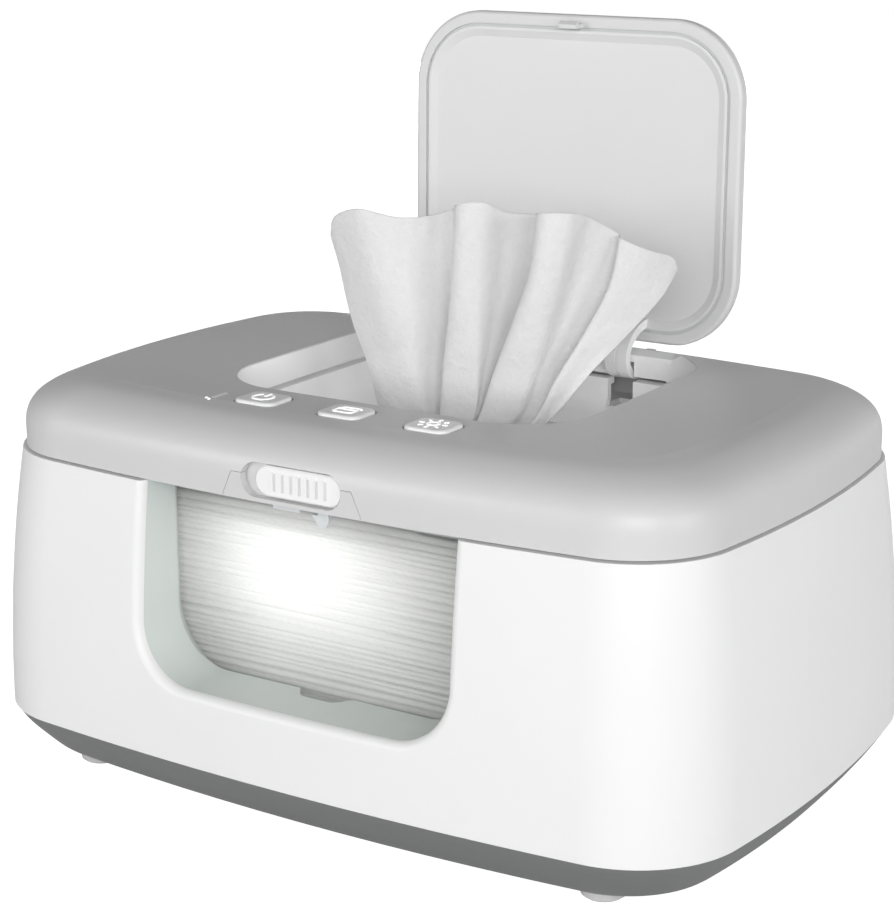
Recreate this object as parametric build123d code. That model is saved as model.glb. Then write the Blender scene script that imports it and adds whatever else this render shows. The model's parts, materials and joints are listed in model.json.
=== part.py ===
from build123d import *
import os
from math import cos, radians, sin, sqrt

# Baby wipe warmer: a heated wipe tub in a moulded housing, under a hinged cover that carries
# a spring-loaded dispensing lid, three push buttons and a slide latch.
# Millimetres. Origin: middle of the footprint on the table, X to the right, -Y to the front, +Z up.
# The lid is modelled open, as it stands in use; every other moving piece is at rest.

# ---------------------------------------------------------------- driving dimensions
BODY_WIDTH = 240.0
BODY_DEPTH = 164.0
SIDE_BOW = 7.25            # how far the left and right sides bulge past the corners
FRONT_BOW = 6.8            # the same for the front and the back
CORNER_RADIUS = 32.0
CORNER_SHRINK = 0.6        # corner radius lost for each millimetre of inset
WALL = 2.5

FOOT_HEIGHT = 4.0
BASE_TOP = 17.0
SEAM_Z = 93.4              # top rim of the housing
COVER_BOTTOM = 94.0
SHOULDER_Z = 101.5         # where the cover starts to round over
COVER_TOP = 113.7
BODY_LEAN = 5.24           # inset of the housing at the seam
COVER_INSET = 6.2
SHOULDER_REACH = 18.0      # horizontal half axis of the cover's rounded shoulder

WINDOW_HALF = 50.0
WINDOW_BOTTOM = 38.2
WINDOW_RADIUS = 17.0
WINDOW_TOP = 88.0          # top of the opening in the tub wall
FRAME_BACK = -61.5         # where the window tunnel meets the pane
PANE = 2.0
GASKET = 1.0
FRAME_WALL = 2.0
PANE_LAP = 5.0              # how far the pane reaches past the window tunnel
SEAT_LAP = 3.6              # how far the opening in the tub stands back from it

TUB_HALF = 100.0
TUB_FRONT = -56.5
TUB_REAR = 60.0
TUB_FLOOR = 26.0
TUB_WALL = 2.0
TUB_RADIUS = 20.0

RECESS_WIDTH = 113.0
RECESS_LENGTH = 97.6
RECESS_Y = 10.1            # middle of the lid recess
RECESS_RADIUS = 22.0
RECESS_WALL_END = 105.2
BOWL_RIM = 103.7
BOWL_FLOOR = 94.0
BOWL_WALL = 2.0

LID_WIDTH = 111.4
LID_LENGTH = 96.2
LID_RADIUS = 23.0
LID_SKIRT = 5.6
LID_OPEN_ANGLE = 91.0
LID_AXIS_Y = 65.4
LID_AXIS_Z = 106.3
LID_SWEEP = 8.6            # the lid's rear edge is cut back to this distance from its hinge axis
LID_PLAY = 0.35
ARM_X = 23.4               # middle of each gooseneck arm
ARM_WIDTH = 7.2

HINGE_Y = 79.2             # cover hinge axis, behind the housing
HINGE_Z = 93.8
HINGE_X = 45.0
HINGE_BARREL = 2.8

BUTTON_X = 27.5
BUTTON_Y = -50.0
BUTTON_WIDTH = 13.4
BUTTON_LENGTH = 11.6
BUTTON_TOP = 114.5
BUTTON_GAP = 0.5

SLOT_Z = 99.8              # slide latch, in the front of the cover
SLOT_LENGTH = 32.0
SLOT_HEIGHT = 9.4
SLIDER_LENGTH = 27.5
SLIDER_HEIGHT = 8.4
SLIDER_X = 2.0             # middle of the slider at rest, unlocked
LATCH_TRAVEL = 4.0
HOOK_WEB = (5.0, 8.4)       # sides of the latch hook's web at rest

FOOT_X = 84.0
FOOT_Y = 58.0
SCREW_X = 88.0
SCREW_Y = 36.0


# ---------------------------------------------------------------- shared shapes
def outline(inset, z):
    """Rounded rectangle with gently bowed sides, drawn at height z."""
    half_x = BODY_WIDTH / 2 - inset
    half_y = BODY_DEPTH / 2 - inset
    x, y = half_x - SIDE_BOW, half_y - FRONT_BOW
    sides = [
        ThreePointArc((-x, -y), (0, -half_y), (x, -y)),
        ThreePointArc((x, -y), (half_x, 0), (x, y)),
        ThreePointArc((x, y), (0, half_y), (-x, y)),
        ThreePointArc((-x, y), (-half_x, 0), (-x, -y)),
    ]
    face = make_face(sides)
    face = fillet(face.vertices(), CORNER_RADIUS - CORNER_SHRINK * inset)
    return Pos(0, 0, z) * face


def bowed_loft(sections):
    """Solid through (height, inset) sections of the bowed outline."""
    return loft([outline(inset, z) for z, inset in sections])


def housing_inset(z):
    """The housing stands upright at the base and leans in towards the seam."""
    return BODY_LEAN * ((z - BASE_TOP) / (SEAM_Z - BASE_TOP)) ** 2


def block(x, y, z, radius=0.0):
    """Box between the pairs x, y and z, with rounded upright edges."""
    width, depth = x[1] - x[0], y[1] - y[0]
    shape = RectangleRounded(width, depth, radius) if radius else Rectangle(width, depth)
    middle = Pos((x[0] + x[1]) / 2, (y[0] + y[1]) / 2, z[0])
    return extrude(middle * shape, z[1] - z[0])


def upright(radius, x, y, z):
    """Upright cylinder between the pair z."""
    return extrude(Pos(x, y, z[0]) * Circle(radius), z[1] - z[0])


def cross_bar(radius, x, y, z):
    """Cylinder along X between the pair x."""
    middle = Pos((x[0] + x[1]) / 2, y, z) * Rot(0, 90, 0)
    return middle * Cylinder(radius, x[1] - x[0])


def front_plate(shape, y):
    """Extrude a shape drawn in X and Z, from the first of the pair y back to the second."""
    plane = Plane((0, y[1], 0), x_dir=(1, 0, 0), z_dir=(0, -1, 0))
    return extrude(plane * shape, y[1] - y[0])


def side_profile(points, x):
    """Extrude a closed profile drawn in Y and Z between the pair x."""
    plane = Plane((x[0], 0, 0), x_dir=(0, 1, 0), z_dir=(1, 0, 0))
    return extrude(plane * make_face(Polyline(points, close=True)), x[1] - x[0])


def mirrored(solid):
    """The solid and its mirror image on the other side of the middle plane."""
    return [solid, mirror(solid, about=Plane.YZ)]


def corners(x, y):
    return [(sx * x, sy * y) for sx in (-1, 1) for sy in (-1, 1)]


def recess(grow, z):
    """Rounded block of the lid recess's plan, grown outwards by a margin."""
    half_x, half_y = RECESS_WIDTH / 2 + grow, RECESS_LENGTH / 2 + grow
    return block((-half_x, half_x), (RECESS_Y - half_y, RECESS_Y + half_y), z, RECESS_RADIUS + grow)


def window_shape(grow, top):
    """Front view of the window: round at its lower corners, square at its top."""
    bottom = WINDOW_BOTTOM - grow
    width, height, radius = 2 * (WINDOW_HALF + grow), top - bottom, WINDOW_RADIUS + grow
    shape = Pos(0, radius) * RectangleRounded(width, height + 2 * radius, radius)
    return Pos(0, (top + bottom) / 2) * (shape & Rectangle(width, height))


def turned(points, x, y):
    """Revolve a profile of (radius, height) points about the upright line through x, y."""
    return Pos(x, y, 0) * revolve(Plane.XZ * make_face(Polyline(points, close=True)), Axis.Z)


def depth_bar(radius, x, y, z):
    """Cylinder along Y between the pair y."""
    return Pos(x, (y[0] + y[1]) / 2, z) * Rot(90, 0, 0) * Cylinder(radius, y[1] - y[0])


# ---------------------------------------------------------------- housing
BODY_LEVELS = (BASE_TOP, 42.0, 68.0, SEAM_Z)
INNER_LEVELS = (BASE_TOP - 1, 42.0, 68.0, SEAM_Z + 1)
ABOVE_SEAM = 140.0
RIM_ROUNDING = 2.2
FLANGE = 2.4               # thickness of the tub's flange, sunk level with the housing's top rim
KNUCKLE_IN = 5.2           # nearest and farthest side of a housing knuckle from its hinge's middle
KNUCKLE_OUT = 11.2
PIN_RADIUS = 1.3
PIN_PLAY = 0.05
JACK_X = 66.0
JACK_Z = 32.5
JACK_NOSE = 4.2
JACK_BORE = 2.9
REAR_FACE = 79.5           # rear wall of the housing at the power inlet


def housing_cavity():
    return bowed_loft([(z, housing_inset(z) + WALL) for z in INNER_LEVELS])


def is_outer_rim(edge):
    """True for a window edge on the housing's outer face."""
    point = edge @ 0.5
    half_y = BODY_DEPTH / 2 - housing_inset(point.Z)
    face_y = -half_y + FRONT_BOW * (point.X / (BODY_WIDTH / 2)) ** 2
    in_window = abs(point.X) < WINDOW_HALF + 0.5 and WINDOW_BOTTOM - 1 < point.Z < SEAM_Z - 3
    return in_window and edge.length > 5 and abs(point.Y - face_y) < 1.2


def knuckle_spans():
    """X ranges of the four housing knuckles, two at each hinge."""
    for middle in (-HINGE_X, HINGE_X):
        yield middle + KNUCKLE_IN, middle + KNUCKLE_OUT
        yield middle - KNUCKLE_OUT, middle - KNUCKLE_IN


def make_outer_shell():
    shell = bowed_loft([(z, housing_inset(z)) for z in BODY_LEVELS]) - housing_cavity()
    ledge_z = (SEAM_Z - FLANGE - 2.4, SEAM_Z - FLANGE)
    ledge_inset = housing_inset(SEAM_Z) + WALL
    ledge = extrude(outline(ledge_inset - 1.5, ledge_z[0]), ledge_z[1] - ledge_z[0])
    ledge -= extrude(outline(ledge_inset + 2.2, ledge_z[0]), ledge_z[1] - ledge_z[0])
    ledge -= block((-54, 54), (-90, -60), ledge_z)
    shell += ledge
    shell -= front_plate(window_shape(0, ABOVE_SEAM), (-90, -70))
    shell = fillet([e for e in shell.edges() if is_outer_rim(e)], RIM_ROUNDING)
    web = [(74.4, 80), (76.4, 80), (HINGE_Y + HINGE_BARREL - 0.4, HINGE_Z - 1.4), (HINGE_Y, HINGE_Z),
           (74.4, SEAM_Z)]
    for x in knuckle_spans():
        shell += side_profile(web, x) + cross_bar(HINGE_BARREL, x, HINGE_Y, HINGE_Z)
        shell -= cross_bar(PIN_RADIUS, (x[0] - 1, x[1] + 1), HINGE_Y, HINGE_Z)
    return shell - depth_bar(JACK_NOSE + 0.1, JACK_X, (70, 90), JACK_Z)


def make_cover_hinge_pins():
    reach = KNUCKLE_OUT
    return [cross_bar(PIN_RADIUS, (x - reach, x + reach), HINGE_Y, HINGE_Z) for x in (-HINGE_X, HINGE_X)]


TRAY_OUTSIDE = ((FOOT_HEIGHT, 10.4), (5.2, 9.0), (8.0, 6.5), (12.0, 3.2), (15.0, 1.2), (BASE_TOP, 0.35))
TRAY_INSIDE = ((6.5, 10.8), (9.0, 8.3), (12.5, 5.0), (15.0, 3.6), (BASE_TOP + 1, 2.9))
TONGUE_TOP = 19.5
SCREW_SEAT = 7.2
TRAY_BOSS_TOP = 9.5
SCREW_RADIUS = 1.45


def make_base_tray():
    tray = bowed_loft(TRAY_OUTSIDE) - bowed_loft(TRAY_INSIDE)
    tongue = extrude(outline(WALL + 0.1, 14.0), TONGUE_TOP - 14.0)
    tongue -= extrude(outline(WALL + 1.9, 13.0), TONGUE_TOP - 12.0)
    tray += tongue
    for x, y in corners(SCREW_X, SCREW_Y):
        tray += upright(5.5, x, y, (FOOT_HEIGHT, TRAY_BOSS_TOP))
        tray -= upright(3.6, x, y, (FOOT_HEIGHT - 1, SCREW_SEAT))
        tray -= upright(1.8, x, y, (FOOT_HEIGHT - 1, TRAY_BOSS_TOP + 1))
    for x, y in corners(FOOT_X, FOOT_Y):
        tray -= upright(2.5, x, y, (FOOT_HEIGHT - 1, 12.0))
    return tray


def make_feet():
    profile = [(0, 0), (5.2, 0), (6.0, 0.6), (6.5, FOOT_HEIGHT), (2.45, FOOT_HEIGHT), (2.45, 6.5),
               (3.1, 6.5), (2.4, 8.4), (0, 8.4)]
    return [turned(profile, x, y) for x, y in corners(FOOT_X, FOOT_Y)]


def make_base_screws():
    profile = [(0, SCREW_SEAT - 1.4), (1.2, SCREW_SEAT - 1.4), (1.2, SCREW_SEAT - 2.4), (2.6, SCREW_SEAT - 2.4),
               (3.2, SCREW_SEAT - 1.6), (3.2, SCREW_SEAT), (SCREW_RADIUS, SCREW_SEAT), (SCREW_RADIUS, 20.6),
               (0.4, 22.0), (0, 22.0)]
    return [turned(profile, x, y) for x, y in corners(SCREW_X, SCREW_Y)]


# ---------------------------------------------------------------- heated tub and window
BOARD_Y = 63.8
BOARD_SCREW_X = (32.0, 74.0)
BOARD_SCREW_Z = 45.0
HEATER_X = 76.0
HEATER_Y = (-42.0, 46.0)
HEATER_TOP = TUB_FLOOR - TUB_WALL
PLATE = 2.0
FILM = 0.6
PAD = 4.0
THERMOSTAT_X = 40.0
FUSE_X = -40.0
KEEPER_X = (-8.0, HOOK_WEB[0] - LATCH_TRAVEL - 0.4)


def make_inner_tub():
    wall = TUB_WALL
    top = SEAM_Z - 0.1
    tub = block((-TUB_HALF - wall, TUB_HALF + wall), (TUB_FRONT - wall, TUB_REAR + wall),
                (TUB_FLOOR - wall, top), TUB_RADIUS + wall)
    flange = extrude(outline(housing_inset(SEAM_Z) + WALL + 0.2, SEAM_Z - FLANGE), FLANGE - 0.1)
    flange -= block((-56.5, 56.5), (-90, TUB_FRONT - wall), (80, 100))
    tub += flange
    tub += block(KEEPER_X, (-72.5, TUB_FRONT - 1), (SEAM_Z - 1.5, top))
    tub -= block((-TUB_HALF, TUB_HALF), (TUB_FRONT, TUB_REAR), (TUB_FLOOR, 100), TUB_RADIUS)
    tub -= front_plate(window_shape(SEAT_LAP, WINDOW_TOP), (TUB_FRONT - 3, TUB_FRONT + 1))
    for x, y in corners(SCREW_X, SCREW_Y):
        tub += upright(4.5, x, y, (TRAY_BOSS_TOP, TUB_FLOOR - wall))
        tub -= upright(SCREW_RADIUS, x, y, (TRAY_BOSS_TOP - 1, 22.5))
    for x in BOARD_SCREW_X:
        tub += depth_bar(2.6, x, (TUB_REAR + 1, BOARD_Y), BOARD_SCREW_Z)
        tub -= depth_bar(1.0, x, (TUB_REAR + 1.2, BOARD_Y + 1), BOARD_SCREW_Z)
    return tub


def make_window_frame():
    """Tunnel between the housing's front wall and the pane."""
    top = SEAM_Z - 0.2
    frame = front_plate(window_shape(FRAME_WALL, top), (-84, FRAME_BACK))
    frame -= front_plate(window_shape(0, top + 10), (-85, FRAME_BACK + 1))
    frame &= housing_cavity()
    flange = front_plate(window_shape(PANE_LAP, WINDOW_TOP + 3), (FRAME_BACK - 1.6, FRAME_BACK))
    frame += flange - front_plate(window_shape(0, top + 10), (-85, FRAME_BACK + 1))
    notch = make_face(Polyline([(-8.6, FRAME_BACK + 1), (-8.6, FRAME_BACK), (-5.2, -66.2), (5.2, -66.2),
                                (8.6, FRAME_BACK), (8.6, FRAME_BACK + 1)], close=True))
    return frame - extrude(Pos(0, 0, WINDOW_BOTTOM - 4) * notch, 6)


def make_window_panel():
    return front_plate(window_shape(PANE_LAP, WINDOW_TOP + 3), (FRAME_BACK, FRAME_BACK + PANE))


def make_window_gasket():
    y = (FRAME_BACK + PANE, FRAME_BACK + PANE + GASKET)
    ring = front_plate(window_shape(PANE_LAP, WINDOW_TOP + 3), y)
    return ring - front_plate(window_shape(SEAT_LAP, WINDOW_TOP), (y[0] - 1, y[1] + 1))


def make_heater_plate():
    return block((-HEATER_X, HEATER_X), HEATER_Y, (HEATER_TOP - PLATE, HEATER_TOP), 8)


def make_heater_film():
    z = HEATER_TOP - PLATE
    return block((-HEATER_X + 4, HEATER_X - 4), (HEATER_Y[0] + 4, HEATER_Y[1] - 4), (z - FILM, z), 6)


def make_insulation_pad():
    z = HEATER_TOP - PLATE - FILM
    pad = block((-HEATER_X, HEATER_X), HEATER_Y, (z - PAD, z), 8)
    pad -= upright(9.0, THERMOSTAT_X, 2, (z - PAD - 1, z + 1))
    return pad - block((FUSE_X - 4, FUSE_X + 4), (-10, 14), (z - PAD - 1, z + 1), 2)


def make_thermostat():
    z = HEATER_TOP - PLATE - FILM
    body = upright(8.0, THERMOSTAT_X, 2, (z - 3.0, z)) + upright(6.4, THERMOSTAT_X, 2, (z - 7.0, z - 3.0))
    for side in (-1, 1):
        body += block((THERMOSTAT_X - 2, THERMOSTAT_X + 2), (2 + side * 4 - 0.4, 2 + side * 4 + 0.4),
                      (z - 12.0, z - 7.0))
    return body


def make_thermal_fuse():
    z = HEATER_TOP - PLATE - FILM - 2.0
    body = Pos(FUSE_X, 2, z) * Rot(90, 0, 0) * Cylinder(2.0, 11)
    return body + depth_bar(0.6, FUSE_X, (-8, 12), z)


def make_power_board():
    back = BOARD_Y + 1.6
    board = block((28, 78), (BOARD_Y, back), (24, 50))
    board += depth_bar(4.0, 50, (back, back + 9), 33)
    board += block((33, 42), (back, back + 6), (28, 40))
    board += block((54, 66), (back, back + 3.5), (41, 47))
    for x in BOARD_SCREW_X:
        board -= depth_bar(1.3, x, (BOARD_Y - 1, back + 1), BOARD_SCREW_Z)
    return board


def make_board_screws():
    back = BOARD_Y + 1.6
    return [depth_bar(2.2, x, (back, back + 1.5), BOARD_SCREW_Z)
            + depth_bar(1.0, x, (TUB_REAR + 1.6, back), BOARD_SCREW_Z) for x in BOARD_SCREW_X]


def make_dc_jack():
    back = BOARD_Y + 1.6
    nose_end = REAR_FACE - 0.3
    jack = block((JACK_X - 4.6, JACK_X + 4.6), (back, 75.6), (JACK_Z - 5.5, JACK_Z + 5.5))
    jack += depth_bar(JACK_NOSE, JACK_X, (75.6, nose_end), JACK_Z)
    jack -= depth_bar(JACK_BORE, JACK_X, (nose_end - 9.5, nose_end + 1), JACK_Z)
    return jack + depth_bar(1.0, JACK_X, (nose_end - 10, nose_end - 1.2), JACK_Z)


STACK_TOP = 86.0


def make_wipe_stack():
    return block((-96, 96), (TUB_FRONT + 0.5, 56), (TUB_FLOOR, STACK_TOP), TUB_RADIUS - 3)


# ---------------------------------------------------------------- cover
COVER_WALL = 2.4
COVER_RISE = COVER_TOP - SHOULDER_Z
SKIN_UNDER = COVER_TOP - COVER_WALL
RECESS_SKIN = 2.0
SEAL_LENGTH = 62.0
SEAL_WIDTH = 18.0
ARM_SLOT = 4.2             # half width of the slot that each gooseneck swings through
SLOT_FLOOR = 95.2
SLOT_ROOF = 109.6
BOWL_EARS = ((-64.5, -12.0), (64.5, -12.0), (-64.5, 32.0), (64.5, 32.0))
LINER_POSTS = ((-105.0, -40.0), (105.0, -40.0), (-105.0, 40.0), (105.0, 40.0), (-105.0, 0.0), (105.0, 0.0))
LINER_SEAT = 95.3
LINER_Z = (94.2, 96.2)
LENS_Y = (-66.0, -60.0)
LIGHT_BOARD_Z = 97.6
BOARD_TOP = 105.6
CATCH_Z = (106.0, 107.6)
CATCH_HALF = 4.6
INDICATOR_X = -41.0
INDICATOR_Y = (-55.2, -48.6)
LUG_OUT = 6.6
LID_PIN = 1.25


def shoulder_levels(wall):
    """Levels of the cover, upright and then rounded over like a quarter ellipse."""
    levels = [(COVER_BOTTOM - wall, COVER_INSET + wall - 0.1), (98.0, COVER_INSET + wall - 0.05)]
    for angle in (0, 22, 42, 60, 76, 90):
        z = SHOULDER_Z + (COVER_RISE - wall) * sin(radians(angle))
        levels.append((z, COVER_INSET + wall + (SHOULDER_REACH - wall) * (1 - cos(radians(angle)))))
    return levels


def button_opening(x):
    width, length = BUTTON_WIDTH + 2 * BUTTON_GAP, BUTTON_LENGTH + 2 * BUTTON_GAP
    return Pos(x, BUTTON_Y) * RectangleRounded(width, length, 3.4)


def bezel_shape(gap):
    """Front view of the insert below the slide latch, narrower at its top."""
    top = 101.2 - gap
    return make_face(Polyline([(-22 + gap, 90), (22 - gap, 90), (22 - gap, 95), (19.2 - gap, top),
                               (-19.2 + gap, top), (-22 + gap, 95)], close=True))


def latch_slot():
    return Pos(0, SLOT_Z) * SlotOverall(SLOT_LENGTH, SLOT_HEIGHT)


def arm_slots(z):
    """Slots in the recess's rear wall for the two gooseneck arms."""
    return [block((x - ARM_SLOT, x + ARM_SLOT), (55.8, 66.0), z) for x in (-ARM_X, ARM_X)]


def hinge_lug(x):
    """Plate under the cover's skin that holds a lid hinge pin."""
    y, z = LID_AXIS_Y, LID_AXIS_Z
    half, top = 2.9, SKIN_UNDER + 0.8
    plate = side_profile([(y - half, top), (y - half, z), (y + half, z), (y + half, top)], x)
    return plate + cross_bar(half, x, y, z)


def lug_spans():
    """X ranges of the lugs: one each side of an arm, and one that holds the pin's inner end."""
    for side in (-1, 1):
        for near, far in ((3.9, LUG_OUT), (-LUG_OUT, -3.9), (-16.6, -14.4)):
            yield sorted((side * (ARM_X + near), side * (ARM_X + far)))


def make_top_cover():
    outside = bowed_loft(shoulder_levels(0))
    cover = outside - bowed_loft(shoulder_levels(COVER_WALL))
    cover += recess(RECESS_SKIN, (RECESS_WALL_END, SKIN_UNDER + 0.8))
    cover -= recess(0, (100, 120))
    cover -= arm_slots((100, SLOT_ROOF))
    cover -= lid_sweep()
    for x in lug_spans():
        cover += hinge_lug(x)
        cover -= cross_bar(LID_PIN, (x[0] - 0.5, x[1] + 0.5), LID_AXIS_Y, LID_AXIS_Z)
    for x in (-BUTTON_X, 0, BUTTON_X):
        cover -= extrude(Pos(0, 0, 108) * button_opening(x), 10)
    cover -= block((INDICATOR_X - 0.8, INDICATOR_X + 0.8), INDICATOR_Y, (108, 118), 0.75)
    cover -= front_plate(latch_slot(), (-90, -66))
    cover -= front_plate(bezel_shape(0), (-90, -66))
    cover -= block((-CATCH_HALF - 0.4, CATCH_HALF + 0.4), (-42, -38), (CATCH_Z[0] - 0.9, CATCH_Z[1] + 0.3))
    rail = block((CATCH_HALF + 0.3, CATCH_HALF + 1.8), (-42.7, -40.9), (BOARD_TOP + 0.3, SKIN_UNDER + 0.8))
    for side in mirrored(rail):
        cover += side
    for x, y in LINER_POSTS:
        cover += upright(3.2, x, y, (LINER_Z[1], SKIN_UNDER)) & outside
        cover -= upright(1.2, x, y, (LINER_Z[1] - 1, 106))
    for x, y in BOWL_EARS:
        cover += upright(3.2, x, y, (BOWL_RIM, SKIN_UNDER + 0.8))
        cover -= upright(1.2, x, y, (BOWL_RIM - 1, SKIN_UNDER))
    for x in (-BUTTON_X / 2, BUTTON_X / 2):
        cover += upright(2.2, x, -58, (BOARD_TOP, SKIN_UNDER + 0.8))
    web = [(72.6, 95.0), (HINGE_Y, 95.0), (HINGE_Y, HINGE_Z + HINGE_BARREL), (72.6, 103.0)]
    for middle in (-HINGE_X, HINGE_X):
        x = (middle - KNUCKLE_IN + 0.2, middle + KNUCKLE_IN - 0.2)
        cover += side_profile(web, x) + cross_bar(HINGE_BARREL, x, HINGE_Y, HINGE_Z)
        cover -= cross_bar(PIN_RADIUS + PIN_PLAY, (x[0] - 1, x[1] + 1), HINGE_Y, HINGE_Z)
    return cover


def make_latch_bezel():
    skin = bowed_loft(shoulder_levels(0)) - bowed_loft(shoulder_levels(COVER_WALL))
    bezel = skin & front_plate(bezel_shape(0.15), (-90, -66))
    return bezel - front_plate(latch_slot(), (-90, -66))


def make_cover_liner():
    """Inner lining, with the lip that closes the tub."""
    liner = extrude(outline(COVER_INSET + COVER_WALL + 0.2, LINER_Z[0]), LINER_Z[1] - LINER_Z[0])
    lip_z = (90.0, LINER_Z[0] + 0.5)
    liner += block((-99, 99), (TUB_FRONT + 1, TUB_REAR - 1), lip_z, 19)
    liner -= block((-97.2, 97.2), (TUB_FRONT + 2.8, TUB_REAR - 2.8), (89, LINER_Z[0]), 17.2)
    liner -= recess(BOWL_WALL + 0.2, (80, 100))
    liner -= block((-26, 26), (-90, -68.0), (90, 100))
    liner -= arm_slots((LINER_Z[0] + 0.8, 100))
    liner -= block((-16, 16), LENS_Y, (90, 100), 1.8)
    for x in (-19.0, 19.0):
        liner += upright(2.0, x, -63, (LINER_Z[1], LIGHT_BOARD_Z))
    for x, y in LINER_POSTS:
        liner -= upright(1.5, x, y, (90, 100)) + upright(2.7, x, y, (90, LINER_SEAT))
    return liner


def make_dispenser_bowl():
    """Dished bowl under the lid, with the dispensing opening in its floor."""
    outside = fillet_floor(recess(BOWL_WALL - 0.5, (BOWL_FLOOR - BOWL_WALL, BOWL_RIM)), 6.6)
    bowl = outside + recess(5.0, (BOWL_RIM - 2, BOWL_RIM))
    bowl += recess(5.0, (BOWL_RIM - 1, BOWL_RIM + 2)) - recess(3.4, (BOWL_RIM - 2, BOWL_RIM + 4))
    for x, y in BOWL_EARS:
        bowl += upright(5.2, x, y, (BOWL_RIM - 2, BOWL_RIM)) - recess(4, (90, 110))
    bowl -= fillet_floor(recess(-0.5, (BOWL_FLOOR, BOWL_RIM + 5)), 5.1)
    bowl -= arm_slots((SLOT_FLOOR, 112))
    bowl -= block((-42, 42), (62.2, 70), (90, 112))
    for x, y in BOWL_EARS:
        bowl -= upright(3.4, x, y, (BOWL_RIM, BOWL_RIM + 5))
        bowl -= upright(1.5, x, y, (90, 110))
    opening = Pos(0, RECESS_Y, 90) * SlotOverall(SEAL_LENGTH + 16, SEAL_WIDTH + 20)
    return bowl - extrude(opening, 10)


def fillet_floor(solid, radius):
    return fillet(solid.faces().sort_by(Axis.Z)[0].edges(), radius)


def make_dispenser_seal():
    """Soft collar that grips the wipe in the dispensing opening."""
    low = BOWL_FLOOR - BOWL_WALL
    seal = extrude(Pos(0, RECESS_Y, low) * SlotOverall(SEAL_LENGTH + 15.9, SEAL_WIDTH + 19.9), BOWL_WALL)
    seal += extrude(Pos(0, RECESS_Y, BOWL_FLOOR) * SlotOverall(SEAL_LENGTH + 24, SEAL_WIDTH + 28), 1.2)
    return seal - extrude(Pos(0, RECESS_Y, low - 1) * SlotOverall(SEAL_LENGTH, SEAL_WIDTH), 5)


def make_cover_screws():
    screws = []
    for (x, y), seat in [(p, LINER_SEAT) for p in LINER_POSTS] + [(p, BOWL_RIM - 2) for p in BOWL_EARS]:
        profile = [(0, seat - 1.0), (2.2, seat - 1.0), (2.4, seat), (1.2, seat), (1.2, seat + 8), (0, seat + 8)]
        screws.append(turned(profile, x, y))
    return screws


def make_control_board():
    board = block((-46, 46), (-62, -44.3), (BOARD_TOP - 1.6, BOARD_TOP), 1)
    board -= block((-3.4, 3.4), (-54, -47.6), (100, 110), 0.8)
    board += block((17, 24), (-60, -52), (BOARD_TOP, BOARD_TOP + 1.6))
    return board + block((-24, -17), (-58, -51), (BOARD_TOP, BOARD_TOP + 1.2))


SWITCH_TOP = 108.6


def make_tact_switches():
    switches = []
    for x in (-BUTTON_X, BUTTON_X):
        body = block((x - 3, x + 3), (BUTTON_Y - 3, BUTTON_Y + 3), (BOARD_TOP, SWITCH_TOP - 0.8), 0.5)
        switches.append(body + upright(1.7, x, BUTTON_Y, (SWITCH_TOP - 0.8, SWITCH_TOP)))
    return switches


def make_indicator_lens():
    x = (INDICATOR_X - 0.7, INDICATOR_X + 0.7)
    return block(x, (INDICATOR_Y[0] + 0.1, INDICATOR_Y[1] - 0.1), (BOARD_TOP, COVER_TOP + 0.1), 0.65)


def make_light_board():
    board = block((-22, 22), (-67, -59), (LIGHT_BOARD_Z, LIGHT_BOARD_Z + 1.2), 1)
    for x in (-9, 0, 9):
        board += block((x - 1.7, x + 1.7), (-64.4, -61.6), (LIGHT_BOARD_Z - 1.1, LIGHT_BOARD_Z), 0.5)
    return board


def make_light_lens():
    return block((-16, 16), LENS_Y, LINER_Z, 1.8)


def make_lid_hinge_pins():
    """Each pin passes through its arm and runs inwards, where the right one carries the spring."""
    pin = cross_bar(LID_PIN, (ARM_X - 16.6, ARM_X + LUG_OUT), LID_AXIS_Y, LID_AXIS_Z)
    return mirrored(pin)


def make_lid_spring():
    """Close-wound torsion spring round the right pin, with a leg against the cover."""
    start, turns, wire = ARM_X - 14.2, 7, 1.0
    spring = cross_bar(2.15, (start, start + turns * wire), LID_AXIS_Y, LID_AXIS_Z)
    for turn in range(turns):
        middle = start + (turn + 0.5) * wire
        spring += Pos(middle, LID_AXIS_Y, LID_AXIS_Z) * Rot(0, 90, 0) * Torus(2.05, 0.5)
    spring -= cross_bar(LID_PIN + 0.15, (start - 1, start + turns * wire + 1), LID_AXIS_Y, LID_AXIS_Z)
    leg_z = (LID_AXIS_Z, 108.8)
    return spring + upright(0.45, start + 0.5, LID_AXIS_Y + 2.1, leg_z)


def make_pulled_wipe():
    """The wipe that stands ready in the opening, as one plain solid."""
    neck_top = BOWL_FLOOR + 2.0
    levels = ((neck_top, -2, RECESS_Y, 52, 14, 0), (106, -3, 9.5, 58, 16, 2), (128, 2, 12, 84, 23, 12),
              (150, 5, 15, 104, 28, 18), (163, 1, 11, 82, 18, 14))
    fan = loft([Pos(x, y, z) * Rot(0, 0, turn) * RectangleRounded(width, depth, 0.42 * depth)
                for z, x, y, width, depth, turn in levels])
    half = SEAL_WIDTH / 2
    neck = block((-22, 18), (RECESS_Y - half, RECESS_Y + half), (BOWL_FLOOR - 1.5, neck_top))
    return fan + neck


# ---------------------------------------------------------------- lid, drawn closed and then swung open
LID_BOTTOM = COVER_TOP - LID_SKIRT
LID_BACK = RECESS_Y + RECESS_LENGTH / 2 - 0.7
LID_FRONT = LID_BACK - LID_LENGTH
LID_RIM = 3.6
GROOVE = 1.0
LID_TAB = 1.8               # how far the tab for the catch stands back in the lid's rim
ARM_THICKNESS = 2.6


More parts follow.
